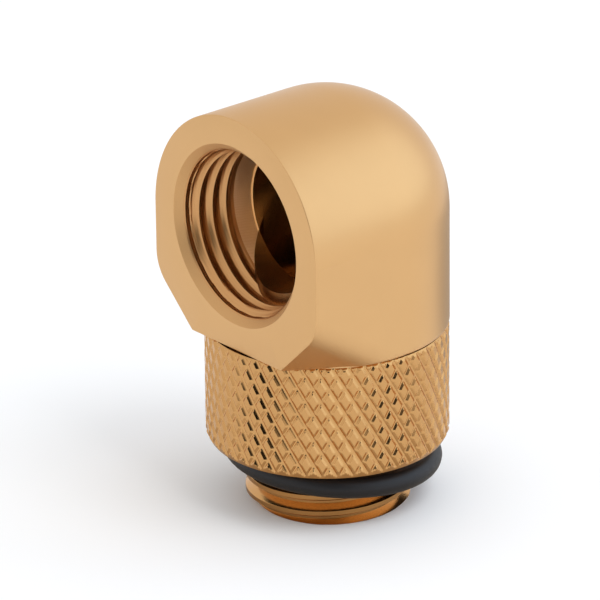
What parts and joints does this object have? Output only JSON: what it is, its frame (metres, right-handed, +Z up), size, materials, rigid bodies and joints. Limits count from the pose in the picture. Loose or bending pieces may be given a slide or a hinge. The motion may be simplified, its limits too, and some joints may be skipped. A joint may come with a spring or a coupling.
{
  "type": "rotary elbow adapter",
  "caption": "Gold-plated right-angle rotary G1/4 adapter: a female port in a domed elbow that swivels on a knurled male base with a rubber face seal.",
  "frame": {"origin": "on the swivel axis, at the centre of the nipple's open end, which is the lowest face", "axes": "+Z up along the swivel axis, from the nipple to the elbow's dome; the female port faces -Y"},
  "size_m": [0.019, 0.019, 0.0335],
  "materials": {
    "gold_plate": "satin gold plating on machined brass",
    "seal_rubber": "satin black rubber",
    "clip_steel": "bright spring steel",
    "washer_plastic": "matt low-friction plastic"
  },
  "bodies": {
    "base": {"rotary_base": "gold_plate", "face_o_ring": "seal_rubber", "slip_washer": "washer_plastic"},
    "elbow": {"elbow_body": "gold_plate", "swivel_spigot": "gold_plate", "spigot_o_ring_upper": "seal_rubber", "spigot_o_ring_lower": "seal_rubber", "retaining_ring": "clip_steel"}
  },
  "joints": [
    {"name": "swivel", "type": "hinge", "parent": "base", "child": "elbow", "pos_m": [0, 0, 0.0145], "axis": [0, 0, 1], "continuous": true}
  ]
}
